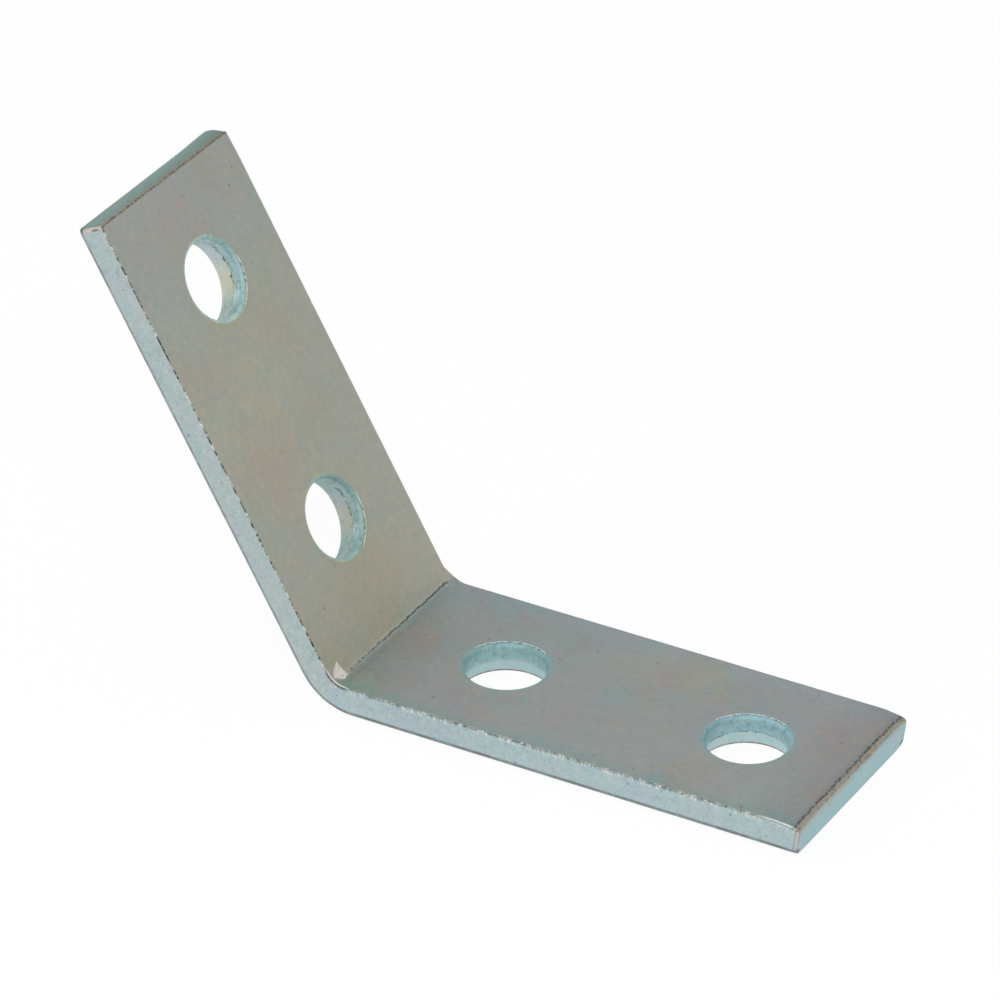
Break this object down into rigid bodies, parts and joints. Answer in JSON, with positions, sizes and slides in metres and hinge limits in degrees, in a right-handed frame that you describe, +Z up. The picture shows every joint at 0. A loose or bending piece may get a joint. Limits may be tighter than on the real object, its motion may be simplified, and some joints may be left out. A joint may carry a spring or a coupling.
{
  "type": "angle bracket",
  "caption": "Flat steel bar bent once to an open angle, with punched bolt holes along both legs.",
  "frame": {"origin": "on the seat face under the flat leg, midway between its two holes and midway across the bar", "axes": "+X along the flat leg away from the bend, +Y across the bar, +Z up from the seat face through the flat leg; the rising leg leans back over -X"},
  "size_m": [0.1415, 0.0416, 0.0844],
  "materials": {
    "zinc_plated_steel": "zinc plated hot-rolled steel, dull satin, with a faint blue and straw passivate bloom"
  },
  "bodies": {
    "root": {"angle_bracket": "zinc_plated_steel"}
  },
  "joints": []
}
